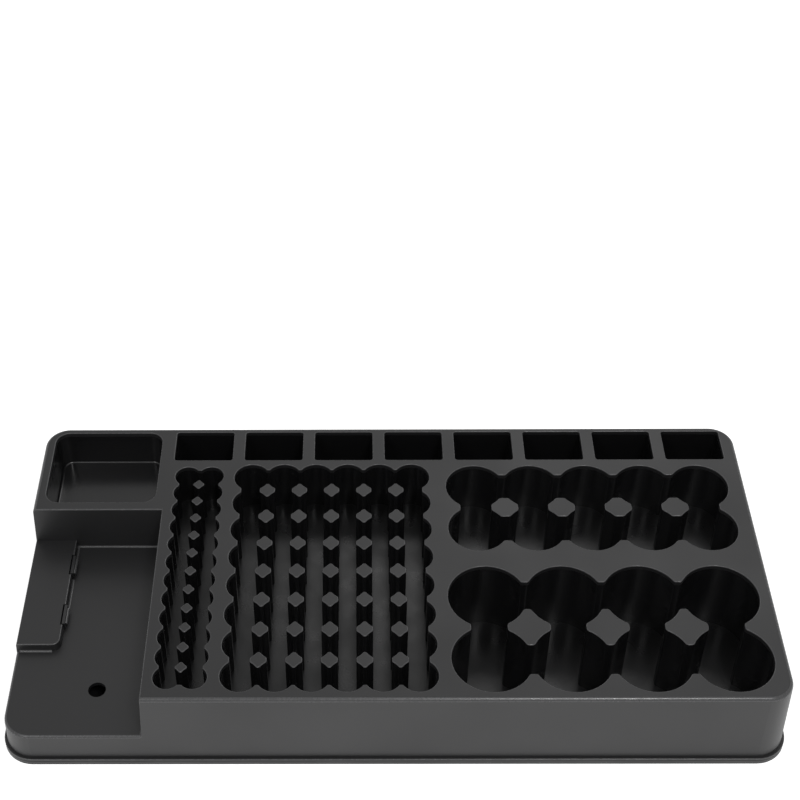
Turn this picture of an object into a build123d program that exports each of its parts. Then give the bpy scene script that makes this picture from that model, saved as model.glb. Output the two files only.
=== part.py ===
from build123d import *
import math
import os

# Open tray that stores loose battery cells upright, moulded in one black shell over a base pan.
# Millimetres. +Z up, X along the long side, +Y to the back. Origin: centre of the base on the table.

os.makedirs("parts", exist_ok=True)

# ---------------------------------------------------------------- outer shell
DECK_CORNER_R = 11.0
DECK_TOP = 42.4
DECK_THICKNESS = 2.2
WALL = 1.5
SKIRT_DRAFT = 2.5
DECK_EDGE_R = 1.9
SKIRT_FOOT = 1.3

# ---------------------------------------------------------------- foot flange and base pan
FLANGE_OVERHANG = 1.35
FLANGE_TOP = 3.8
FLANGE_THICKNESS = 1.0
FLANGE_EDGE_R = 0.35
SEAM_GAP = 0.3
PAN_FLOOR = 1.3
PAN_FIT = 0.2
PAN_EDGE_R = 0.5
PAD_TOP = 2.6
PAD_RIM = 0.2

# ---------------------------------------------------------------- screws and bosses
SCREW_CORE_R = 1.3
SCREW_FIT = 0.05
SCREW_LENGTH = 10.0
SCREW_HEAD_R = 2.6
SCREW_HEAD_HEIGHT = 1.2
SCREW_HEAD_FIT = 0.15
SCREW_HEAD_RECESS = 0.3
SCREW_PASS_R = 1.6
SLOT_WIDTH = 0.7
SLOT_DEPTH = 0.6
BOSS_R = 3.2
PILOT_END_GAP = 1.0
BAY_BOSS_FROM_RIGHT = 11.0
BAY_BOSS_FROM_STEP = 15.0
NOTCH_MARGIN = 0.3
D_NOTCH_SHIFT = 0.9
RIGHT_BOSS_SHIFT = 37.1
EDGE_TOLERANCE = 0.05

# ---------------------------------------------------------------- tester bay
BAY_DEPTH = 24.6
BAY_FLOOR_THICKNESS = 2.0
BAY_WALL_DRAFT = 3.0
BAY_EDGE_R = 1.3
STEP_EDGE_R = 0.5
STEP_ROOT_R = 0.8
HOLE_R = 3.9
HOLE_FROM_LEFT = 37.6
HOLE_FROM_FRONT = 23.6

# ---------------------------------------------------------------- raised block and snap fingers
BLOCK_HEIGHT = 4.2
BLOCK_WIDTH = 18.4
BLOCK_LENGTH = 63.2
BLOCK_CORNER_R = 4.0
BLOCK_DRAFT = 5.0
BLOCK_EDGE_R = 0.5
FINGER_LENGTH = 10.8
FINGER_THICKNESS = 1.3
FINGER_PROUD = 0.9
FINGER_BEAD_R = 1.0
FINGER_BEAD_LENGTH = 8.8
FINGER_SLIT = 0.7
FINGER_SIDE_GAP = 0.5
FINGER_FOOT_GAP = 0.25
FINGER_REAR_FROM_STEP = 16.1
FINGER_PITCH = 29.8

# ---------------------------------------------------------------- cell wells
CUP_WALL = 1.4
CUP_FLOOR = 1.2
CUP_FIT = 0.1
WELL_EDGE_R = 0.4
POST_EDGE_R = 0.45
FRONT_MARGIN = 4.405
D_FRONT_MARGIN = 4.15
RIGHT_MARGIN = 5.9
BAY_TO_AAA = 4.65
AAA_TO_AA = 5.28
AA_TO_D = 5.73
AA_TO_NINE_VOLT = 3.105
D_TO_C = 9.5

AAA_COLUMNS, AAA_ROWS = 2, 12
AAA_PITCH_X, AAA_PITCH_Y = 11.1, 10.76
AAA_RADIUS = 5.95
AAA_CUSP_REACH = 3.8
AAA_POST_X, AAA_POST_Y = 5.5, 6.1
AAA_DEPTH = 22.4

AA_COLUMNS, AA_ROWS = 6, 8
AA_PITCH_X, AA_PITCH_Y = 15.2, 16.65
AA_RADIUS = 8.42
AA_CUSP_REACH = 4.8
AA_POST_X, AA_POST_Y = 7.3, 8.8
AA_DEPTH = 27.8

C_COLUMNS, C_ROWS = 5, 2
C_PITCH = 26.5
C_RADIUS = 13.7
C_CUSP_REACH = 7.5
C_POST_X, C_POST_Y = 12.6, 11.8
C_DEPTH = 28.4

D_COLUMNS, D_ROWS = 4, 2
D_PITCH = 34.2
D_RADIUS = 17.45
D_CUSP_REACH = 8.1
D_POST_X, D_POST_Y = 18.8, 20.0

CUSP_R_SMALL = 0.55
CUSP_R_LARGE = 1.2
POST_FULLER_SMALL = 0.3
POST_FULLER_LARGE = 0.4
POST_TIP_R_AAA = 1.0
POST_TIP_R_AA = 1.2
POST_TIP_R_LARGE = 1.8

# ---------------------------------------------------------------- nine volt slots and button cell bin
NINE_VOLT_COUNT = 8
NINE_VOLT_PITCH = 33.87
NINE_VOLT_WIDTH = 28.0
NINE_VOLT_SPAN = 19.2
NINE_VOLT_CORNER_R = 1.3
NINE_VOLT_DEPTH = 26.4
NINE_VOLT_BACK_MARGIN = 2.9
BAY_TO_NINE_VOLT = 3.245

BIN_WIDTH = 52.1
BIN_SPAN = 46.4
BIN_CORNER_R = 6.5
BIN_DEPTH = 18.6
BIN_DRAFT = 5.0
BIN_BACK_MARGIN = 3.3
BIN_FRONT_MARGIN = 4.8
BIN_LEFT_MARGIN = 4.85
BIN_RIGHT_MARGIN = 3.65
BIN_FLOOR_R = 1.0

# ---------------------------------------------------------------- places worked out from the sizes above
AAA_HALF_WIDTH = (AAA_COLUMNS - 1) * AAA_PITCH_X / 2 + AAA_RADIUS
AA_HALF_WIDTH = (AA_COLUMNS - 1) * AA_PITCH_X / 2 + AA_RADIUS
AA_HALF_SPAN = (AA_ROWS - 1) * AA_PITCH_Y / 2 + AA_RADIUS
C_HALF_SPAN = (C_ROWS - 1) * C_PITCH / 2 + C_RADIUS
D_HALF_WIDTH = (D_COLUMNS - 1) * D_PITCH / 2 + D_RADIUS
D_HALF_SPAN = (D_ROWS - 1) * D_PITCH / 2 + D_RADIUS
BAY_WIDTH = BIN_LEFT_MARGIN + BIN_WIDTH + BIN_RIGHT_MARGIN
STEP_BACK_MARGIN = BIN_BACK_MARGIN + BIN_SPAN + BIN_FRONT_MARGIN
WELLS_WIDTH = 2 * AAA_HALF_WIDTH + AAA_TO_AA + 2 * AA_HALF_WIDTH + AA_TO_D + 2 * D_HALF_WIDTH
DECK_LENGTH = BAY_WIDTH + BAY_TO_AAA + WELLS_WIDTH + RIGHT_MARGIN
DECK_DEPTH = FRONT_MARGIN + 2 * AA_HALF_SPAN + AA_TO_NINE_VOLT + NINE_VOLT_SPAN + NINE_VOLT_BACK_MARGIN
DECK_BOTTOM = DECK_TOP - DECK_THICKNESS
DECK_LEFT = -DECK_LENGTH / 2
DECK_FRONT = -DECK_DEPTH / 2
DECK_BACK = DECK_DEPTH / 2
SKIRT_SPREAD = math.tan(math.radians(SKIRT_DRAFT))
FLANGE_BOTTOM = FLANGE_TOP - FLANGE_THICKNESS
PAN_WALL_TOP = FLANGE_BOTTOM - SEAM_GAP
FLANGE_OUT = (DECK_TOP - FLANGE_TOP) * SKIRT_SPREAD + FLANGE_OVERHANG
BAY_FLOOR = DECK_TOP - BAY_DEPTH
BAY_RIGHT = DECK_LEFT + BAY_WIDTH
STEP_Y = DECK_BACK - STEP_BACK_MARGIN
AAA_CENTRE_X = BAY_RIGHT + BAY_TO_AAA + AAA_HALF_WIDTH
AA_CENTRE_X = AAA_CENTRE_X + AAA_HALF_WIDTH + AAA_TO_AA + AA_HALF_WIDTH
RIGHT_WELLS_X = AA_CENTRE_X + AA_HALF_WIDTH + AA_TO_D + D_HALF_WIDTH
WELLS_CENTRE_Y = DECK_FRONT + FRONT_MARGIN + AA_HALF_SPAN
D_CENTRE_Y = DECK_FRONT + D_FRONT_MARGIN + D_HALF_SPAN
C_CENTRE_Y = D_CENTRE_Y + D_HALF_SPAN + D_TO_C + C_HALF_SPAN
D_DEPTH = DECK_TOP - PAN_FLOOR - SEAM_GAP - CUP_FLOOR
BLOCK_TOP = BAY_FLOOR + BLOCK_HEIGHT
BLOCK_RIGHT = DECK_LEFT + BLOCK_WIDTH
BLOCK_FRONT = STEP_Y - BLOCK_LENGTH
FINGER_YS = {"rear": STEP_Y - FINGER_REAR_FROM_STEP,
             "front": STEP_Y - FINGER_REAR_FROM_STEP - FINGER_PITCH}
NINE_VOLT_Y = DECK_BACK - NINE_VOLT_BACK_MARGIN - NINE_VOLT_SPAN / 2
BIN_X = DECK_LEFT + BIN_LEFT_MARGIN + BIN_WIDTH / 2
BIN_Y = DECK_BACK - BIN_BACK_MARGIN - BIN_SPAN / 2
BIN_FLOOR_Z = DECK_TOP - BIN_DEPTH

# bosses stand in the free ground between the wells, and under the bay and the bin
NOTCH_X = AA_CENTRE_X + AA_COLUMNS * AA_PITCH_X / 2 + AA_RADIUS + NOTCH_MARGIN
SHELL_BOSSES = [
    (DECK_LEFT + BLOCK_WIDTH, DECK_FRONT + HOLE_FROM_FRONT),
    (BAY_RIGHT - BAY_BOSS_FROM_RIGHT, STEP_Y - BAY_BOSS_FROM_STEP),
    (NOTCH_X, C_CENTRE_Y),
    (NOTCH_X + D_NOTCH_SHIFT, D_CENTRE_Y),
    (RIGHT_WELLS_X + RIGHT_BOSS_SHIFT, (C_CENTRE_Y - C_PITCH + D_CENTRE_Y + D_PITCH) / 2),
]
BIN_BOSS = (BIN_X, BIN_Y)


def tapered(outline, bottom, top, spread):
    """Prism on an outline drawn at height bottom, whose sides lean out by spread degrees going up."""
    return extrude(Plane.XY.offset(bottom) * outline, amount=top - bottom, taper=-spread)


def upright(radius, bottom, top):
    """Round post on the Z axis between two heights."""
    return Pos(0, 0, bottom) * Cylinder(radius, top - bottom, align=(Align.CENTER, Align.CENTER, Align.MIN))


def deck_outline(out=0.0):
    """Rounded rectangle of the deck, grown by out on every side."""
    return RectangleRounded(DECK_LENGTH + 2 * out, DECK_DEPTH + 2 * out, DECK_CORNER_R + out)


def cell_centres(columns, rows, pitch_x, pitch_y, centre):
    """Centres of a grid of cells or posts."""
    places = GridLocations(pitch_x, pitch_y, columns, rows)
    return [(centre[0] + place.position.X, centre[1] + place.position.Y) for place in places]


def scalloped_outline(well, wall=0.0):
    """Plan of a well: one circle per cell, joined by channels that leave blunt cusps, grown by a wall."""
    columns, rows, pitch_x, pitch_y = well["grid"]
    centres = cell_centres(*well["grid"], well["centre"])
    circles = [Pos(x, y) * Circle(well["radius"] + wall) for x, y in centres]
    reach = 2 * (well["reach"] + wall)
    channel = Pos(*well["centre"]) * Rectangle((columns - 1) * pitch_x + reach, (rows - 1) * pitch_y + reach)
    return channel.fuse(*circles).clean()


def well_mouth(well):
    """Inside plan of a well, with its cusps rounded."""
    outline = scalloped_outline(well)
    return fillet(outline.vertices(), well["cusp"])


def star_outline(well):
    """Section of a post: what four neighbouring cells leave between them, with its tips cut and rounded."""
    pitch_x, pitch_y = well["grid"][2:]
    width, span, fuller, tip_r = well["post"]
    corners = GridLocations(pitch_x, pitch_y, 2, 2)
    star = Rectangle(width, span) - [corner * Circle(well["radius"] - fuller) for corner in corners]
    return offset(offset(star, -tip_r), tip_r)


def cup(inside, outside, depth):
    """Thin-walled cup that hangs under the deck plate, open at the top."""
    floor = DECK_TOP - depth
    return tapered(outside, floor - CUP_FLOOR, DECK_BOTTOM, 0) - tapered(inside, floor, DECK_BOTTOM, 0)


def posts(well):
    """Star posts that part the cells of one well, from its floor to the deck."""
    columns, rows, pitch_x, pitch_y = well["grid"]
    post = tapered(star_outline(well), DECK_TOP - well["depth"], DECK_TOP, 0)
    post = fillet(post.faces().sort_by(Axis.Z)[-1].edges(), POST_EDGE_R)
    places = cell_centres(columns - 1, rows - 1, pitch_x, pitch_y, well["centre"])
    return Compound(children=[Pos(x, y, 0) * post for x, y in places])


# ---------------------------------------------------------------- wells, described once
WELLS = {
    "aaa": dict(grid=(AAA_COLUMNS, AAA_ROWS, AAA_PITCH_X, AAA_PITCH_Y),
                radius=AAA_RADIUS, reach=AAA_CUSP_REACH, cusp=CUSP_R_SMALL,
                post=(AAA_POST_X, AAA_POST_Y, POST_FULLER_SMALL, POST_TIP_R_AAA), depth=AAA_DEPTH,
                centre=(AAA_CENTRE_X, WELLS_CENTRE_Y)),
    "aa": dict(grid=(AA_COLUMNS, AA_ROWS, AA_PITCH_X, AA_PITCH_Y),
               radius=AA_RADIUS, reach=AA_CUSP_REACH, cusp=CUSP_R_SMALL,
               post=(AA_POST_X, AA_POST_Y, POST_FULLER_SMALL, POST_TIP_R_AA), depth=AA_DEPTH,
               centre=(AA_CENTRE_X, WELLS_CENTRE_Y)),
    "c": dict(grid=(C_COLUMNS, C_ROWS, C_PITCH, C_PITCH),
              radius=C_RADIUS, reach=C_CUSP_REACH, cusp=CUSP_R_LARGE,
              post=(C_POST_X, C_POST_Y, POST_FULLER_LARGE, POST_TIP_R_LARGE), depth=C_DEPTH,
              centre=(RIGHT_WELLS_X, C_CENTRE_Y)),
    "d": dict(grid=(D_COLUMNS, D_ROWS, D_PITCH, D_PITCH),
              radius=D_RADIUS, reach=D_CUSP_REACH, cusp=CUSP_R_LARGE,
              post=(D_POST_X, D_POST_Y, POST_FULLER_LARGE, POST_TIP_R_LARGE), depth=D_DEPTH,
              centre=(RIGHT_WELLS_X, D_CENTRE_Y)),
}
OUTLINES = {name: well_mouth(well) for name, well in WELLS.items()}
SLOT_OUTLINE = RectangleRounded(NINE_VOLT_WIDTH, NINE_VOLT_SPAN, NINE_VOLT_CORNER_R)
SLOT_OUTSIDE = RectangleRounded(NINE_VOLT_WIDTH + 2 * CUP_WALL, NINE_VOLT_SPAN + 2 * CUP_WALL,
                                NINE_VOLT_CORNER_R + CUP_WALL)
FIRST_SLOT_X = BAY_RIGHT + BAY_TO_NINE_VOLT + NINE_VOLT_WIDTH / 2
SLOT_XS = [FIRST_SLOT_X + n * NINE_VOLT_PITCH for n in range(NINE_VOLT_COUNT)]


def bin_hollow(grow, bottom):
    """Inside of the button cell bin, grown by a wall, with its draft."""
    spread = math.tan(math.radians(BIN_DRAFT)) * (DECK_TOP - bottom)
    outline = RectangleRounded(BIN_WIDTH - 2 * spread + 2 * grow, BIN_SPAN - 2 * spread + 2 * grow,
                               BIN_CORNER_R - spread + grow)
    return Pos(BIN_X, BIN_Y, 0) * tapered(outline, bottom, DECK_TOP, BIN_DRAFT)


def bay_cutter(wall):
    """Space over the tester bay, grown towards the step, the deck and the floor by a wall."""
    lean = math.tan(math.radians(BAY_WALL_DRAFT))
    low = BAY_FLOOR - (BAY_FLOOR_THICKNESS if wall else 0)
    drop = DECK_TOP - low
    out = FLANGE_OUT + 2 * DECK_CORNER_R
    top_width = BAY_WIDTH + wall + out
    top_span = STEP_Y + wall - DECK_FRONT + out
    low_width = top_width - drop * lean
    low_span = top_span - drop * lean
    left = DECK_LEFT - out
    front = DECK_FRONT - out
    top = Pos(left + top_width / 2, front + top_span / 2, DECK_TOP) * Rectangle(top_width, top_span)
    bottom = Pos(left + low_width / 2, front + low_span / 2, low) * Rectangle(low_width, low_span)
    return loft([bottom, top])


def shell_solid(inset, bottom, top):
    """Drafted block of the outer skirt between two heights, inset by a wall thickness."""
    spread = (DECK_TOP - bottom) * SKIRT_SPREAD
    return tapered(deck_outline(spread - inset), bottom, top, -SKIRT_DRAFT)


def level_edges(body, height):
    """Edges of a body that lie flat at one height."""
    return body.edges().filter_by_position(Axis.Z, height, height).filter_by(
        lambda edge: edge.bounding_box().size.Z < EDGE_TOLERANCE)


def along_bay_wall(edge):
    """True for an edge that runs at the foot or the head of the step or of the bay's side wall."""
    reach = BAY_DEPTH * math.tan(math.radians(BAY_WALL_DRAFT)) + EDGE_TOLERANCE
    centre = edge.center()
    on_step = abs(centre.Y - STEP_Y) <= reach and centre.X < BAY_RIGHT
    on_side = abs(centre.X - BAY_RIGHT) <= reach and centre.Y < STEP_Y
    return on_step or on_side


def skirt_envelope():
    """Outside of the moulding: drafted skirt, rounded deck edge, and the bay with its rounded edges."""
    outer = shell_solid(0, SKIRT_FOOT, DECK_TOP)
    outer = fillet(outer.faces().sort_by(Axis.Z)[-1].edges(), DECK_EDGE_R)
    outer = outer - bay_cutter(0)
    outer = fillet(level_edges(outer, BAY_FLOOR).filter_by(lambda edge: not along_bay_wall(edge)), BAY_EDGE_R)
    outer = fillet(level_edges(outer, BAY_FLOOR).filter_by(along_bay_wall), STEP_ROOT_R)
    return fillet(level_edges(outer, DECK_TOP).filter_by(along_bay_wall), STEP_EDGE_R)


ENVELOPE = skirt_envelope()


def tray_shell():
    body = ENVELOPE - (shell_solid(WALL, SKIRT_FOOT, DECK_BOTTOM) - bay_cutter(WALL))
    for x, y in SHELL_BOSSES:
        ceiling = BAY_FLOOR - BAY_FLOOR_THICKNESS / 2 if x < BAY_RIGHT else DECK_TOP - DECK_THICKNESS / 2
        body += Pos(x, y, 0) * upright(BOSS_R, PAD_TOP, ceiling)
    body -= [pilot(x, y) for x, y in SHELL_BOSSES]
    for outline in OUTLINES.values():
        body -= tapered(outline, DECK_BOTTOM, DECK_TOP, 0)
    for x in SLOT_XS:
        body -= Pos(x, NINE_VOLT_Y, 0) * tapered(SLOT_OUTLINE, DECK_BOTTOM, DECK_TOP, 0)
    body -= bin_hollow(0, BIN_FLOOR_Z)
    mouths = body.faces().sort_by(Axis.Z)[-1].inner_wires()
    body = fillet([edge for mouth in mouths for edge in mouth.edges()], WELL_EDGE_R)
    hole = (DECK_LEFT + HOLE_FROM_LEFT, DECK_FRONT + HOLE_FROM_FRONT)
    body -= Pos(*hole, BAY_FLOOR - BAY_FLOOR_THICKNESS / 2) * Cylinder(HOLE_R, 2 * BAY_FLOOR_THICKNESS)
    flange_out = deck_outline(FLANGE_OUT)
    flange = tapered(flange_out, FLANGE_BOTTOM, FLANGE_TOP, 0)
    flange = fillet(flange.faces().sort_by(Axis.Z)[-1].edges(), FLANGE_EDGE_R)
    body += flange - shell_solid(WALL / 2, SKIRT_FOOT, DECK_BOTTOM)
    return body


def pilot(x, y):
    """Blind pilot bore for one screw, up into its boss."""
    tip = SCREW_HEAD_RECESS + SCREW_HEAD_HEIGHT + SCREW_LENGTH + PILOT_END_GAP
    return Pos(x, y, 0) * upright(SCREW_CORE_R + SCREW_FIT, PAD_TOP, tip)


def bin_cup():
    below_deck = Pos(BIN_X, BIN_Y, DECK_BOTTOM / 2) * Box(2 * BIN_WIDTH, 2 * BIN_SPAN, DECK_BOTTOM)
    outside = bin_hollow(CUP_WALL, BIN_FLOOR_Z - CUP_FLOOR) & below_deck
    hollow = bin_hollow(0, BIN_FLOOR_Z)
    hollow = fillet(hollow.faces().sort_by(Axis.Z)[0].edges(), BIN_FLOOR_R)
    boss = Pos(*BIN_BOSS, 0) * upright(BOSS_R, PAD_TOP, BIN_FLOOR_Z - CUP_FLOOR / 2)
    return outside - hollow + boss - pilot(*BIN_BOSS)


def tester_block():
    low = BAY_FLOOR - BAY_EDGE_R
    spread = (BLOCK_TOP - low) * math.tan(math.radians(BLOCK_DRAFT))
    beyond = FLANGE_OUT + 2 * DECK_CORNER_R
    width = BLOCK_WIDTH + spread + beyond
    span = BLOCK_LENGTH + spread + beyond
    outline = RectangleRounded(width, span, BLOCK_CORNER_R)
    plan = Pos(BLOCK_RIGHT + spread - width / 2, BLOCK_FRONT - spread + span / 2) * outline
    block = tapered(plan, low, BLOCK_TOP, -BLOCK_DRAFT) & shell_solid(0, low, BLOCK_TOP)
    block = fillet(block.faces().sort_by(Axis.Z)[-1].edges(), BLOCK_EDGE_R) - ENVELOPE
    pocket = Box(2 * (FINGER_THICKNESS + FINGER_SLIT - FINGER_PROUD), FINGER_LENGTH + 2 * FINGER_SIDE_GAP,
                 3 * BLOCK_HEIGHT)
    for y in FINGER_YS.values():
        block -= Pos(BLOCK_RIGHT, y, BAY_FLOOR) * pocket
    return block


def snap_finger(y):
    low = BAY_FLOOR + FINGER_FOOT_GAP
    height = BLOCK_TOP - low
    plate = Box(FINGER_THICKNESS, FINGER_LENGTH, height)
    bead = Pos(FINGER_THICKNESS / 2, 0, 0) * Rot(90, 0, 0) * Cylinder(FINGER_BEAD_R, FINGER_BEAD_LENGTH)
    finger = plate + bead
    return Pos(BLOCK_RIGHT + FINGER_PROUD - FINGER_THICKNESS / 2, y, low + height / 2) * finger


def base_pan():
    wall_in = (DECK_TOP - SKIRT_FOOT) * SKIRT_SPREAD + PAN_FIT
    tray = tapered(deck_outline(FLANGE_OUT), 0, PAN_WALL_TOP, 0)
    tray = fillet(tray.faces().sort_by(Axis.Z)[0].edges(), PAN_EDGE_R)
    tray -= tapered(deck_outline(wall_in), PAN_FLOOR, PAN_WALL_TOP, 0)
    head_top = SCREW_HEAD_RECESS + SCREW_HEAD_HEIGHT
    for x, y in SHELL_BOSSES + [BIN_BOSS]:
        tray += Pos(x, y, 0) * upright(BOSS_R + PAD_RIM, 0, PAD_TOP)
        tray -= Pos(x, y, 0) * upright(SCREW_HEAD_R + SCREW_HEAD_FIT, 0, head_top)
        tray -= Pos(x, y, 0) * upright(SCREW_PASS_R, 0, PAD_TOP)
    return tray


def base_screw():
    head_top = SCREW_HEAD_RECESS + SCREW_HEAD_HEIGHT
    head = upright(SCREW_HEAD_R, SCREW_HEAD_RECESS, head_top)
    shank = upright(SCREW_CORE_R, head_top, head_top + SCREW_LENGTH)
    slot = Box(2 * SCREW_CORE_R, SLOT_WIDTH, 2 * SLOT_DEPTH)
    slots = [Pos(0, 0, SCREW_HEAD_RECESS) * Rot(0, 0, turn) * slot for turn in (0, 90)]
    return head + shank - slots


nodes = {
    "tray_shell": tray_shell(),
    "bin_cup": bin_cup(),
    "tester_block": tester_block(),
    "base_pan": base_pan(),
    "base_screws": Compound(children=[Pos(x, y, 0) * base_screw() for x, y in SHELL_BOSSES + [BIN_BOSS]]),
}
for number, x in enumerate(SLOT_XS, start=1):
    slot = Pos(x, NINE_VOLT_Y, 0) * cup(SLOT_OUTLINE, SLOT_OUTSIDE, NINE_VOLT_DEPTH)
    nodes[f"nine_volt_cup_{number}"] = slot & shell_solid(WALL + CUP_FIT, SKIRT_FOOT, DECK_BOTTOM)
for name, well in WELLS.items():
    nodes[f"{name}_well"] = cup(OUTLINES[name], scalloped_outline(well, CUP_WALL), well["depth"])
    nodes[f"{name}_posts"] = posts(well)
for place, y in FINGER_YS.items():
    nodes[f"snap_finger_{place}"] = snap_finger(y)

for name, shape in nodes.items():
    export_step(shape, f"parts/{name}.step")
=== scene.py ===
import math

import bpy
from mathutils import Matrix, Vector


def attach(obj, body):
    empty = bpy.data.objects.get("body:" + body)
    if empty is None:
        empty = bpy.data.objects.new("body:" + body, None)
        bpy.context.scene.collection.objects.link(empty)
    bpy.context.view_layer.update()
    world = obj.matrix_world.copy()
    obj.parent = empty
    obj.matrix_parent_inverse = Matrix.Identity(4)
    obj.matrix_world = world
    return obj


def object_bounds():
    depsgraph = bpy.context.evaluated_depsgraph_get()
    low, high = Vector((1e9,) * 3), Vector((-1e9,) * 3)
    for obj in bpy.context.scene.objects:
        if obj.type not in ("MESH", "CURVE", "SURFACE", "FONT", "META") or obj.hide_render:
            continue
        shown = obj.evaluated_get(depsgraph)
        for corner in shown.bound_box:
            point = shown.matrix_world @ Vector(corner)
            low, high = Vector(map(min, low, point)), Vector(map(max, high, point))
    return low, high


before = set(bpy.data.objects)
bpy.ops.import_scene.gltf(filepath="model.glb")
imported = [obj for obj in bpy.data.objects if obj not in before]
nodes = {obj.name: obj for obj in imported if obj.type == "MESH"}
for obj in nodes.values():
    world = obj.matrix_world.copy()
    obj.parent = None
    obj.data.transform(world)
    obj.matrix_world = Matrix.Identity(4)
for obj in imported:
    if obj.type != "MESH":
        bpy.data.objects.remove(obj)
packed_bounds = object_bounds()
bpy.ops.object.select_all(action="DESELECT")


# ---------------------------------------------------------------- tray shell
# The upper moulding: deck, drafted skirt, stepped tester bay and foot flange in one piece of black ABS,
# injection moulded in a spark-eroded tool, so its outer faces have a fine matt grain and its rounded
# edges, rubbed by handling, are a little smoother and catch the light; their lighter colour is painted
# highlight.
MM = 0.001


def linear(hex_colour):
    """sRGB hex colour as the linear value that a shader socket takes."""
    channels = [int(hex_colour[i:i + 2], 16) / 255 for i in (1, 3, 5)]
    return [c / 12.92 if c <= 0.04045 else ((c + 0.055) / 1.055) ** 2.4 for c in channels] + [1.0]


def add(tree, kind, settings, inputs):
    """Adds one shader node. An input is a value, or the output socket that feeds it."""
    made = tree.nodes.new(kind)
    for name, value in settings.items():
        setattr(made, name, value)
    for name, value in inputs.items():
        if isinstance(value, bpy.types.NodeSocket):
            tree.links.new(value, made.inputs[name])
        else:
            made.inputs[name].default_value = value
    return made


def new_material(name):
    """Empty node material with its output, ready for a shader."""
    material = bpy.data.materials.new(name)
    material.use_nodes = True
    material.node_tree.nodes.clear()
    return material, material.node_tree


# spark-eroded ABS: the real grit is 0.15 mm, drawn at 0.7 mm because finer doesn't show at this distance;
# it gives the eye an even soft grey sheen with a barely seen sparkle and slow cloudy patches
eroded_abs, tree = new_material("spark_eroded_black_abs")
place = add(tree, "ShaderNodeTexCoord", {}, {}).outputs["Object"]
grit = add(tree, "ShaderNodeTexNoise", {}, {"Vector": place, "Scale": 1 / (0.7 * MM), "Detail": 3.0,
                                            "Roughness": 0.6})
cloud = add(tree, "ShaderNodeTexNoise", {}, {"Vector": place, "Scale": 1 / (45 * MM), "Detail": 2.0})
gloss = add(tree, "ShaderNodeMapRange", {}, {"Value": cloud.outputs["Fac"], "From Min": 0.3, "From Max": 0.7,
                                             "To Min": 0.42, "To Max": 0.5})
grain = add(tree, "ShaderNodeBump", {}, {"Height": grit.outputs["Fac"], "Strength": 0.35,
                                         "Distance": 0.06 * MM})
skin = add(tree, "ShaderNodeBsdfPrincipled", {}, {"Base Color": linear("#1c1c1d"), "IOR": 1.53,
                                                  "Roughness": gloss.outputs["Result"],
                                                  "Normal": grain.outputs["Normal"]})
add(tree, "ShaderNodeOutputMaterial", {}, {"Surface": skin.outputs["BSDF"]})

# rubbed ABS: the same plastic where handling has worn the grit off, smoother on every rounded edge, root
# and corner, and painted lighter there as a highlight line; the rubbing marks are 2 mm long, their real size
rubbed_abs_painted_highlight, tree = new_material("rubbed_black_abs_with_painted_highlight")
place = add(tree, "ShaderNodeTexCoord", {}, {}).outputs["Object"]
rub = add(tree, "ShaderNodeTexNoise", {}, {"Vector": place, "Scale": 1 / (2 * MM), "Detail": 3.0})
gloss = add(tree, "ShaderNodeMapRange", {}, {"Value": rub.outputs["Fac"], "From Min": 0.3, "From Max": 0.7,
                                             "To Min": 0.2, "To Max": 0.34})
# a base colour far lighter than the black plastic: painted highlight on the edges
skin = add(tree, "ShaderNodeBsdfPrincipled", {}, {"Base Color": linear("#4c4c4d"), "IOR": 1.53,
                                                  "Roughness": gloss.outputs["Result"]})
add(tree, "ShaderNodeOutputMaterial", {}, {"Surface": skin.outputs["BSDF"]})

# a face whose normal rises less than UPRIGHT is a wall, and one that rises more than LEVEL is a flat top;
# what lies between them is a rounded edge or a root
UPRIGHT = 0.12
LEVEL = 0.985


def dress(node_name, *materials):
    """Gives a carried-over node its finishes; the first one covers it all."""
    slots = nodes[node_name].data.materials
    slots.clear()
    for material in materials:
        slots.append(material)


def dress_with_worn_edges_and_painted_highlight(node_name):
    """Gives a node the eroded finish, with its rounded edges and roots rubbed smooth and given a painted
    highlight.
    """
    dress(node_name, eroded_abs, rubbed_abs_painted_highlight)
    for face in nodes[node_name].data.polygons:
        face.material_index = int(UPRIGHT < face.normal.z < LEVEL)


dress_with_worn_edges_and_painted_highlight("tray_shell")

# ---------------------------------------------------------------- wells, slots and bin
# The cups that hold the cells are part of the same black ABS shot, but their cores were polished and
# drawn straight up, so the walls are glossy with faint upright draw marks; their colour is darker than
# the shell's, painted shade down in the cups.
drawn_abs_with_painted_shade, tree = new_material("core_polished_black_abs_with_painted_shade")
place = add(tree, "ShaderNodeTexCoord", {}, {}).outputs["Object"]
# draw marks: 0.4 mm apart round the wall and 30 mm long, shown at twice their real width
along = add(tree, "ShaderNodeMapping", {}, {"Vector": place,
                                            "Scale": (1 / (0.8 * MM), 1 / (0.8 * MM), 1 / (30 * MM))})
marks = add(tree, "ShaderNodeTexNoise", {}, {"Vector": along.outputs["Vector"], "Scale": 1.0, "Detail": 2.0})
ripple = add(tree, "ShaderNodeTexNoise", {}, {"Vector": place, "Scale": 1 / (12 * MM), "Detail": 1.0})
both = add(tree, "ShaderNodeMath", {"operation": "ADD"}, {0: marks.outputs["Fac"], 1: ripple.outputs["Fac"]})
draw = add(tree, "ShaderNodeBump", {}, {"Height": both.outputs["Value"], "Strength": 0.2,
                                        "Distance": 0.03 * MM})
sheen = add(tree, "ShaderNodeMapRange", {}, {"Value": marks.outputs["Fac"], "From Min": 0.3, "From Max": 0.7,
                                             "To Min": 0.18, "To Max": 0.26})
# a base colour darker than the shell's same plastic: painted shade in the cups
skin = add(tree, "ShaderNodeBsdfPrincipled", {}, {"Base Color": linear("#151516"), "IOR": 1.53,
                                                  "Roughness": sheen.outputs["Result"],
                                                  "Normal": draw.outputs["Normal"]})
add(tree, "ShaderNodeOutputMaterial", {}, {"Surface": skin.outputs["BSDF"]})
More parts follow.
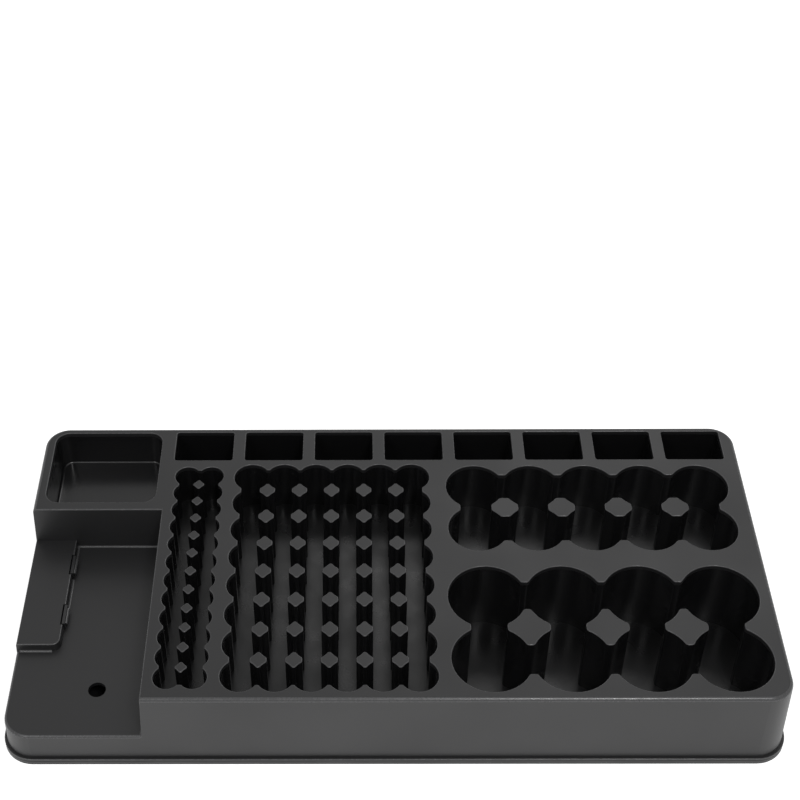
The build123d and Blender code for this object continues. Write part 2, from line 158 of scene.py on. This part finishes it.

# the floors of the wells keep the coarse grit of the core ends, which holds back the gloss of the walls
# (grit of
# 0.2 mm, drawn at 0.8 mm because finer doesn't show down in the wells); their darker colour and weakened
# reflection are painted shade at the bottom of the wells
floor_abs_with_painted_shade, tree = new_material("coarse_black_abs_of_the_well_floors_with_painted_shade")
place = add(tree, "ShaderNodeTexCoord", {}, {}).outputs["Object"]
grit = add(tree, "ShaderNodeTexNoise", {}, {"Vector": place, "Scale": 1 / (0.8 * MM), "Detail": 2.0})
stain = add(tree, "ShaderNodeTexNoise", {}, {"Vector": place, "Scale": 1 / (15 * MM), "Detail": 3.0})
gloss = add(tree, "ShaderNodeMapRange", {}, {"Value": stain.outputs["Fac"], "From Min": 0.3, "From Max": 0.7,
                                             "To Min": 0.24, "To Max": 0.36})
grain = add(tree, "ShaderNodeBump", {}, {"Height": grit.outputs["Fac"], "Strength": 0.3,
                                         "Distance": 0.06 * MM})
# darker base and lowered specular level: painted shade on the well floors
skin = add(tree, "ShaderNodeBsdfPrincipled", {}, {"Base Color": linear("#121213"), "IOR": 1.53,
                                                  "Specular IOR Level": 0.37,
                                                  "Roughness": gloss.outputs["Result"],
                                                  "Normal": grain.outputs["Normal"]})
add(tree, "ShaderNodeOutputMaterial", {}, {"Surface": skin.outputs["BSDF"]})

for name in nodes:
    if name.startswith("nine_volt_cup") or name == "bin_cup":
        dress(name, drawn_abs_with_painted_shade)
    if name.endswith("_well"):
        dress(name, drawn_abs_with_painted_shade, floor_abs_with_painted_shade)
        for face in nodes[name].data.polygons:
            face.material_index = int(face.normal.z > LEVEL)

# ---------------------------------------------------------------- star posts
# The posts between the cells rise from the well floors in the same shot: their sides were drawn from the
# polished cores and share the well walls' darker, painted shade, and their flat tops, level with the deck,
# come from its spark-eroded tool face; the rounded rims of the tops take the rubbed finish, whose lighter
# colour is a painted highlight.
DECK_TOP = packed_bounds[1][2]
POST_EDGE = 0.4 * MM
for name in nodes:
    if name.endswith("_posts"):
        dress(name, drawn_abs_with_painted_shade, eroded_abs, rubbed_abs_painted_highlight)
        for face in nodes[name].data.polygons:
            if face.center.z > DECK_TOP - POST_EDGE:
                face.material_index = 1 if face.normal.z > LEVEL else 2

# ---------------------------------------------------------------- raised block and its root
# The raised block in the tester bay carries the snap fingers and is moulded with the shell. It runs out
# into the bay floor in a small hollow radius, broken at the two fingers, drawn in the rubbed finish whose
# lighter colour paints a thin bright highlight round the block's foot.
ROOT_R = 0.8 * MM
ROOT_HOLLOW = 0.96 * ROOT_R
ROOT_HOLLOW_SHAPE = 0.12
ROOT_STEPS = 5
BAY_FLOOR = 17.8 * MM
FOOT_LEFT = -167.45 * MM
FOOT_RIGHT = -148.98 * MM
FOOT_FRONT = -36.57 * MM
FOOT_REAR = 24.9 * MM
FOOT_CORNER_R = 3.89 * MM
FOOT_CORNER_STEPS = 8
FRONT_FINGER_Y = -18.9 * MM
REAR_FINGER_Y = 10.9 * MM
FINGER_REACH = 5.9 * MM
SAME_POINT = 0.005 * MM
SMOOTH_BELOW = math.radians(40)


def hollow_profile(x, y, turn):
    """Upright section of the root, standing at a point of the foot and turned about it."""
    bpy.ops.object.select_all(action="DESELECT")
    middle = Vector((0.0, -ROOT_R / 2, BAY_FLOOR + ROOT_R / 2))
    bpy.ops.mesh.primitive_plane_add(size=ROOT_R, location=middle, rotation=(0.0, math.pi / 2, 0.0))
    section = bpy.context.active_object
    bpy.ops.object.transform_apply(location=True, rotation=True, scale=True)
    bpy.ops.object.mode_set(mode="EDIT")
    bpy.ops.mesh.select_all(action="DESELECT")
    bpy.ops.object.mode_set(mode="OBJECT")
    # the corner away from both the floor and the block is the one that is hollowed
    for corner in section.data.vertices:
        corner.select = corner.co.y < middle.y and corner.co.z > middle.z
    bpy.ops.object.mode_set(mode="EDIT")
    bpy.ops.mesh.select_mode(type="VERT")
    bpy.ops.mesh.bevel(offset=ROOT_HOLLOW, segments=ROOT_STEPS, profile=ROOT_HOLLOW_SHAPE, affect="VERTICES")
    bpy.ops.mesh.select_all(action="SELECT")
    bpy.ops.object.mode_set(mode="OBJECT")
    section.data.transform(Matrix.Translation((x, y, 0.0)) @ Matrix.Rotation(turn, 4, "Z"))
    return section


def run_out(way):
    """Extrudes what is selected along a way."""
    bpy.ops.mesh.extrude_region_move(TRANSFORM_OT_translate={"value": way})


# along the front of the foot, round its corner, and back to the front finger
first = hollow_profile(FOOT_LEFT, FOOT_FRONT, 0.0)
bpy.ops.object.mode_set(mode="EDIT")
run_out((FOOT_RIGHT - FOOT_CORNER_R - FOOT_LEFT, 0.0, 0.0))
bpy.ops.mesh.spin(steps=FOOT_CORNER_STEPS, angle=math.pi / 2, axis=(0.0, 0.0, 1.0),
                  center=(FOOT_RIGHT - FOOT_CORNER_R, FOOT_FRONT + FOOT_CORNER_R, BAY_FLOOR))
run_out((0.0, FRONT_FINGER_Y - FINGER_REACH - FOOT_FRONT - FOOT_CORNER_R, 0.0))
bpy.ops.object.mode_set(mode="OBJECT")
pieces = [first]
# between the fingers, and from the rear finger to the step
for start, end in ((FRONT_FINGER_Y + FINGER_REACH, REAR_FINGER_Y - FINGER_REACH),
                   (REAR_FINGER_Y + FINGER_REACH, FOOT_REAR)):
    piece = hollow_profile(FOOT_RIGHT, start, math.pi / 2)
    bpy.ops.object.mode_set(mode="EDIT")
    run_out((0.0, end - start, 0.0))
    bpy.ops.object.mode_set(mode="OBJECT")
    pieces.append(piece)
bpy.ops.object.select_all(action="DESELECT")
for piece in pieces:
    piece.select_set(True)
bpy.context.view_layer.objects.active = first
bpy.ops.object.join()
bpy.ops.object.mode_set(mode="EDIT")
bpy.ops.mesh.select_all(action="SELECT")
bpy.ops.mesh.remove_doubles(threshold=SAME_POINT)
bpy.ops.mesh.normals_make_consistent(inside=False)
bpy.ops.object.mode_set(mode="OBJECT")
bpy.ops.object.shade_smooth_by_angle(angle=SMOOTH_BELOW)
block_root = bpy.context.active_object
block_root.name = "block_root"
# the root strip is painted lighter than the plastic: a painted highlight line
block_root.data.materials.append(rubbed_abs_painted_highlight)
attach(block_root, "tray")
dress_with_worn_edges_and_painted_highlight("tester_block")

# ---------------------------------------------------------------- base pan
# A second, flatter moulding of black ABS that closes the tray from below and lies on the table;
# its top edge shows as the lower line of the two-line rim.
pan_abs, tree = new_material("matt_black_abs_of_the_pan")
place = add(tree, "ShaderNodeTexCoord", {}, {}).outputs["Object"]
# like the shell, but its plain tool leaves it darker and a little duller; real grit of 0.2 mm, drawn at
# 0.9 mm because finer doesn't show, and scuffs of 20 mm, their real size
grit = add(tree, "ShaderNodeTexNoise", {}, {"Vector": place, "Scale": 1 / (0.9 * MM), "Detail": 2.0})
scuff = add(tree, "ShaderNodeTexNoise", {}, {"Vector": place, "Scale": 1 / (20 * MM), "Detail": 4.0})
gloss = add(tree, "ShaderNodeMapRange", {}, {"Value": scuff.outputs["Fac"],
                                             "From Min": 0.35, "From Max": 0.65,
                                             "To Min": 0.44, "To Max": 0.56})
grain = add(tree, "ShaderNodeBump", {}, {"Height": grit.outputs["Fac"], "Strength": 0.3,
                                         "Distance": 0.06 * MM})
skin = add(tree, "ShaderNodeBsdfPrincipled", {}, {"Base Color": linear("#141415"), "IOR": 1.53,
                                                  "Roughness": gloss.outputs["Result"],
                                                  "Normal": grain.outputs["Normal"]})
add(tree, "ShaderNodeOutputMaterial", {}, {"Surface": skin.outputs["BSDF"]})
dress("base_pan", pan_abs)

# ---------------------------------------------------------------- base screws
# Six pan-head self-tapping screws of zinc-plated steel, driven up from below into the bosses of the tray,
# with their heads in recesses of the pan.
zinc, tree = new_material("bright_zinc_plate")
place = add(tree, "ShaderNodeTexCoord", {}, {}).outputs["Object"]
# plating spangle, 0.5 mm across: bright grey metal with a faint uneven polish
spangle = add(tree, "ShaderNodeTexNoise", {}, {"Vector": place, "Scale": 1 / (0.5 * MM), "Detail": 2.0})
gloss = add(tree, "ShaderNodeMapRange", {}, {"Value": spangle.outputs["Fac"],
                                             "From Min": 0.3, "From Max": 0.7,
                                             "To Min": 0.22, "To Max": 0.38})
skin = add(tree, "ShaderNodeBsdfPrincipled", {}, {"Base Color": linear("#b9bcc0"), "Metallic": 1.0,
                                                  "Roughness": gloss.outputs["Result"]})
add(tree, "ShaderNodeOutputMaterial", {}, {"Surface": skin.outputs["BSDF"]})
dress("base_screws", zinc)

# ---------------------------------------------------------------- snap fingers
# Two small tongues at the edge of the raised block, moulded in the same ABS; each has a rounded bead
# that clicks over the tester's edge and is rubbed shiny there, its rounded faces painted lighter as a
# highlight.
dress_with_worn_edges_and_painted_highlight("snap_finger_rear")
dress_with_worn_edges_and_painted_highlight("snap_finger_front")

# ---------------------------------------------------------------- floor
# A plain white table top, painted matt, that carries the tray's shadow and runs far past the picture's
# edges. The camera and reflections see it lifted to white.
TABLE_SPAN = 6.0
bpy.ops.mesh.primitive_plane_add(size=TABLE_SPAN, location=(0.0, 0.0, 0.0))
table_top = bpy.context.active_object
table_top.name = "table_top"
paint, tree = new_material("white_matt_paint")
matt = add(tree, "ShaderNodeBsdfDiffuse", {}, {"Color": linear("#f4f4f4")})
shine = add(tree, "ShaderNodeEmission", {}, {"Color": linear("#ffffff"), "Strength": 0.75})
seen = add(tree, "ShaderNodeLightPath", {}, {})
mirrored = add(tree, "ShaderNodeMath", {"operation": "MAXIMUM"}, {0: seen.outputs["Is Camera Ray"],
                                                                  1: seen.outputs["Is Glossy Ray"]})
lifted = add(tree, "ShaderNodeAddShader", {}, {0: matt.outputs["BSDF"], 1: shine.outputs["Emission"]})
choice = add(tree, "ShaderNodeMixShader", {}, {"Fac": mirrored.outputs["Value"], 1: matt.outputs["BSDF"],
                                               2: lifted.outputs["Shader"]})
add(tree, "ShaderNodeOutputMaterial", {}, {"Surface": choice.outputs["Shader"]})
table_top.data.materials.append(paint)

# ---------------------------------------------------------------- light and surroundings
# One wide soft light high behind the tray, a small key light over the camera that draws the rounded edges,
# a weaker one from the front left that lays streaks down the well walls, and a pale room.
world = bpy.data.worlds.new("pale_room")
bpy.context.scene.world = world
world.use_nodes = True
tree = world.node_tree
tree.nodes.clear()
# the camera sees a white backdrop, and reflections see it at not quite half its strength over the room
IN_REFLECTIONS = 0.45
seen = add(tree, "ShaderNodeLightPath", {}, {})
room = add(tree, "ShaderNodeBackground", {}, {"Color": linear("#e8e8e8"), "Strength": 0.4})
backdrop = add(tree, "ShaderNodeBackground", {}, {"Color": linear("#ffffff"), "Strength": 1.0})
share = add(tree, "ShaderNodeMath", {"operation": "MULTIPLY_ADD"}, {0: seen.outputs["Is Glossy Ray"],
                                                                    1: IN_REFLECTIONS,
                                                                    2: seen.outputs["Is Camera Ray"]})
choice = add(tree, "ShaderNodeMixShader", {}, {"Fac": share.outputs["Value"], 1: room.outputs["Background"],
                                               2: backdrop.outputs["Background"]})
add(tree, "ShaderNodeOutputWorld", {}, {"Surface": choice.outputs["Shader"]})


def soft_light(name, where, width, depth, watts):
    """Rectangular area light at a place, turned towards the middle of the tray's foot."""
    lamp = bpy.data.lights.new(name, "AREA")
    lamp.shape = "RECTANGLE"
    lamp.size = width
    lamp.size_y = depth
    lamp.energy = watts
    holder = bpy.data.objects.new(name, lamp)
    bpy.context.scene.collection.objects.link(holder)
    holder.location = where
    holder.rotation_mode = "QUATERNION"
    holder.rotation_quaternion = (-Vector(where)).to_track_quat("-Z", "Y")


soft_light("window_behind", where=(0.3, 0.98, 1.07), width=0.9, depth=0.5, watts=2.4)
soft_light("fill_left", where=(-0.7, -0.9, 1.3), width=0.4, depth=0.4, watts=3.5)
soft_light("key_over_camera", where=(0.32, -0.8, 1.3), width=0.25, depth=0.25, watts=6.0)

# ---------------------------------------------------------------- camera
# Stands where the photograph was taken from, in front of the tray and above it, and looks down over it
# towards the back; the lens axis passes left of the picture's middle.
PICTURE_PX = 800
AXIS_LEFT_PX = 55
EYE = (-0.0161, -0.47094, 0.5776)
TILT = math.radians(46.9339)
ROLL = math.radians(0.3871)
HEADING = math.radians(0.1958)
lens = bpy.data.cameras.new("photo_camera")
lens.sensor_width = 36.0
lens.lens = 70.2
lens.shift_x = AXIS_LEFT_PX / PICTURE_PX
camera = bpy.data.objects.new("photo_camera", lens)
bpy.context.scene.collection.objects.link(camera)
camera.location = EYE
camera.rotation_euler = (TILT, ROLL, HEADING)
bpy.context.scene.camera = camera
bpy.context.scene.view_settings.view_transform = "Standard"
